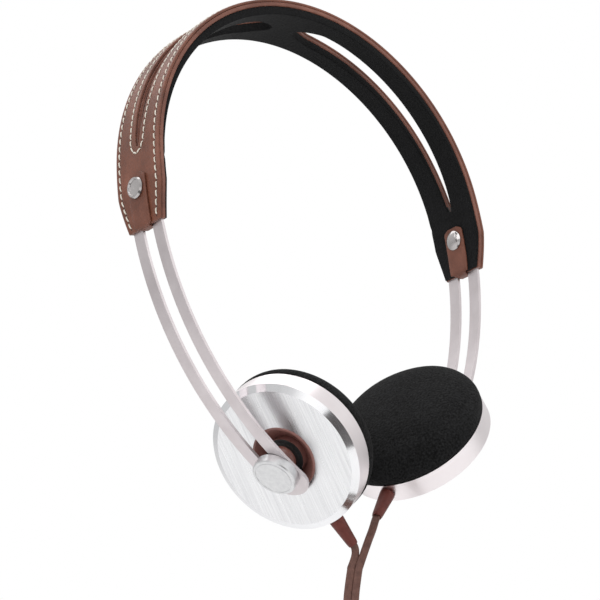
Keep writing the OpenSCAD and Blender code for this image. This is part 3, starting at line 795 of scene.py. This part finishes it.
def tab_half(s, a, top):
    """Half width of the tab at s; a is the turn round the fold, 0 outside and pi inside."""
    if 0 < a < math.pi:
        return FOLD_HALF - (FOLD_HALF - FOLD_WAIST) * math.sin(a) ** 0.5
    from_end = min(s - top, TAB_CORNER) / TAB_CORNER
    corner = TAB_CORNER * (1 - math.sqrt(max(1 - (1 - from_end) ** 2, 0)))
    near_fold = min(max((s - (END_S - TAB_NARROWS)) / (TAB_NARROWS - FOLD_IN), 0), 1)
    return TAB_HALF - corner - (TAB_HALF - FOLD_HALF) * near_fold


def tab(side):
    """A tab: down the outside of the band, round its end and up the inside."""
    sign = SIDES[side]["sign"]
    outer = SKIN_OUT + TAB_OUT + TAB_THICK
    inner = CORE_BOTTOM - TAB_IN - LINING_T - TAB_THICK
    top, fold = RIVET_S - TAB_ABOVE, END_S - FOLD_IN
    mid_h, bend_r = (outer + inner) / 2, (outer - inner) / 2
    path = [(s, outer, 0.0) for s in np.linspace(top, fold, 20)]
    path += [(fold, mid_h, a) for a in np.linspace(0, math.pi, 15)[1:-1]]
    path += [(s, inner, math.pi) for s in np.linspace(fold, top, 20)]
    verts, faces, rows = [], [], []
    for s, h, a in path:
        half = tab_half(s, a, top)
        top_row, low_row = [], []
        steps = edge_steps(TAB_EDGE, 3)
        ys = [(-half + d, drop) for d, drop in steps]
        ys += [(half * c, 0.0) for c in (-0.6, -0.3, 0, 0.3, 0.6)]
        ys += [(half - d, drop) for d, drop in reversed(steps)]
        for y, drop in ys:
            press = PRESS_DEPTH * math.exp(-((abs(y) - half + PRESS_IN) / PRESS_WIDTH) ** 2)
            for store, off in ((top_row, TAB_THICK - drop - press), (low_row, -TAB_THICK + drop)):
                store.append(len(verts))
                if 0 < a < math.pi:
                    r = bend_r + off
                    verts.append(band_point(s + r * math.sin(a) * FOLD_OUT, y,
                                            mid_h + r * math.cos(a)))
                else:
                    verts.append(band_point(s, y, h + (off if a == 0 else -off)))
        rows.append((top_row, low_row))
    for (t0, b0), (t1, b1) in zip(rows, rows[1:]):
        for k in range(len(t0) - 1):
            faces.append((t0[k], t0[k + 1], t1[k + 1], t1[k]))
            faces.append((b0[k], b1[k], b1[k + 1], b0[k + 1]))
        faces.append((t0[-1], b0[-1], b1[-1], t1[-1]))
        faces.append((t0[0], t1[0], b1[0], b0[0]))
    for t, b in (rows[0], rows[-1]):
        for k in range(len(t) - 1):
            faces.append((t[k], b[k], b[k + 1], t[k + 1]))
    verts = [(sign * x, y, z) for x, y, z in verts]
    o = make("leather_tab_" + side, verts, faces, TAB, "headband", sharp=50)
    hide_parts("tab_" + side)


# ---- foam pads ----
FOAM_R, FOAM_RISE = 31.2, 11.9  # rim and height of the dome
FOAM_SIDE, FOAM_CROWN = 0.66, 0.92  # powers of the dome: below 1 is fuller than a round one
FOAM_WAVE = 0.035  # unevenness of cut foam


def foam(side):
    """A foam pad: its seat on the baffle, the rolled rim that clears the wall, and the dome."""
    m = cup_matrix(side)
    base = WALL_Z + 0.3
    profile = [(19.4, base + 5.0), (26, base + 4.2), (29.9, base + 2.4), (30.15, base + 0.4),
               (30.4, base - 0.05), (30.9, base + 0.3), (31.15, base + 0.9)]
    steps = 22
    for k in range(1, steps + 1):
        t = math.pi / 2 * k / steps
        profile.append((FOAM_R * math.cos(t) ** FOAM_SIDE,
                        base + 1.4 + FOAM_RISE * math.sin(t) ** FOAM_CROWN))
    around = 128
    verts, faces = [], []
    rnd = np.random.default_rng(3 if side == "left" else 4)
    wave = rnd.uniform(0, 2 * math.pi, 6)
    for r, z in profile:
        for j in range(around):
            a = 2 * math.pi * j / around
            soft = FOAM_WAVE * sum(math.sin((i + 2) * a + wave[i] + z * 0.25) for i in range(6))
            rr = max(r + soft * min(r / 10, 1), 0.02)
            p = m @ Vector((rr * math.cos(a) * MM, rr * math.sin(a) * MM, z * MM))
            verts.append(tuple(c / MM for c in p))
    for k in range(len(profile) - 1):
        for j in range(around):
            n = (j + 1) % around
            faces.append((k * around + j, k * around + n, (k + 1) * around + n,
                          (k + 1) * around + j))
    faces.append(tuple(range(around)))
    faces.append(tuple((len(profile) - 1) * around + j for j in range(around)))
    o = make("foam_pad_" + side, verts, faces, FOAM, "cup_" + side, sharp=70)
    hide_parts("foam_" + side)


for side in SIDES:
    tab(side)
    foam(side)

# ---- floor, world and lights, in metres ----
FLOOR_Z = -0.47


def board(name, width, height, z, material):
    """A flat rectangle."""
    w, h = width / 2, height / 2
    mesh = bpy.data.meshes.new(name)
    mesh.from_pydata([(-w, -h, z), (w, -h, z), (w, h, z), (-w, h, z)], [], [(0, 1, 2, 3)])
    mesh.materials.append(material)
    o = bpy.data.objects.new(name, mesh)
    bpy.context.scene.collection.objects.link(o)
    return o


floor = board("floor", 12, 12, FLOOR_Z,
              spotted("pale_floor", (0.8, 0.8, 0.8), (0.84, 0.84, 0.84), 3, 0.7))

world = bpy.data.worlds.new("studio")
bpy.context.scene.world = world
world.use_nodes = True
nodes, links = world.node_tree.nodes, world.node_tree.links
seen = nodes["Background"]
seen.inputs["Color"].default_value = (1, 1, 1, 1)
seen.inputs["Strength"].default_value = 1.0
lit = nodes.new("ShaderNodeBackground")
lit.inputs["Strength"].default_value = 1.0
way = nodes.new("ShaderNodeTexCoord").outputs["Generated"]
height = nodes.new("ShaderNodeSeparateXYZ")
links.new(way, height.inputs[0])
span = nodes.new("ShaderNodeMapRange")
span.inputs["From Min"].default_value = -1.0
links.new(height.outputs["Z"], span.inputs["Value"])
links.new(ramp(nodes, links, span.outputs[0], [(0.0, 0.35), (0.45, 0.6), (1.0, 0.95)]),
          lit.inputs["Color"])
which, mix = nodes.new("ShaderNodeLightPath"), nodes.new("ShaderNodeMixShader")
links.new(which.outputs["Is Camera Ray"], mix.inputs["Fac"])
links.new(lit.outputs[0], mix.inputs[1])
links.new(seen.outputs[0], mix.inputs[2])
links.new(mix.outputs[0], nodes["World Output"].inputs["Surface"])


MIDDLE = Vector((0, 0, -0.11))


def soft_light(name, at, size, power):
    """A rectangular studio light that faces the middle of the headphones."""
    data = bpy.data.lights.new(name, "AREA")
    data.shape = "RECTANGLE"
    data.size, data.size_y = size
    data.energy = power
    o = bpy.data.objects.new(name, data)
    bpy.context.scene.collection.objects.link(o)
    o.location = at
    o.rotation_euler = (MIDDLE - Vector(at)).to_track_quat("-Z", "Y").to_euler()


soft_light("key", (-1.3, -0.5, 0.9), (1.8, 1.8), 14)
soft_light("fill", (0.5, -1.5, 0.2), (1.4, 1.0), 4)
soft_light("top", (0.1, 0.3, 1.3), (1.5, 1.5), 8)


def dark_card(name, at, towards, width, height):
    """A dark board that only shows in reflections."""
    o = board(name, width, height, 0,
              spotted(name, (0.05, 0.045, 0.045), (0.16, 0.15, 0.15), 6, 0.9))
    o.location = at
    o.rotation_euler = (towards - at).to_track_quat("Z", "Y").to_euler()
    o.visible_camera = False
    o.visible_shadow = False
    o.visible_diffuse = False


# the chamfer of the near cup mirrors a dark card at its upper right
CARD_CLOCK = math.radians(68)  # where on the chamfer, round from the top as the camera sees it
CARD_AWAY = 0.26
BEVEL_MID = 0.0297  # radius of the chamfer's middle
BEVEL_WIDTH, BEVEL_DROP = 2.7, 1.4  # across the chamfer, and along the cup's axis

near_cup = cup_matrix("left")
axis = -(near_cup.to_3x3() @ Vector((0, 0, 1)))
seen_up = (UP - axis * UP.dot(axis)).normalized()
outward = seen_up * math.cos(CARD_CLOCK) + seen_up.cross(axis) * math.sin(CARD_CLOCK)
normal = (outward * BEVEL_DROP + axis * BEVEL_WIDTH).normalized()
spot = near_cup.translation + outward * BEVEL_MID
glance = LOOK - 2 * LOOK.dot(normal) * normal
dark_card("card", spot + glance * CARD_AWAY, spot, 0.12, 0.14)

bpy.context.scene.view_settings.view_transform = "Standard"
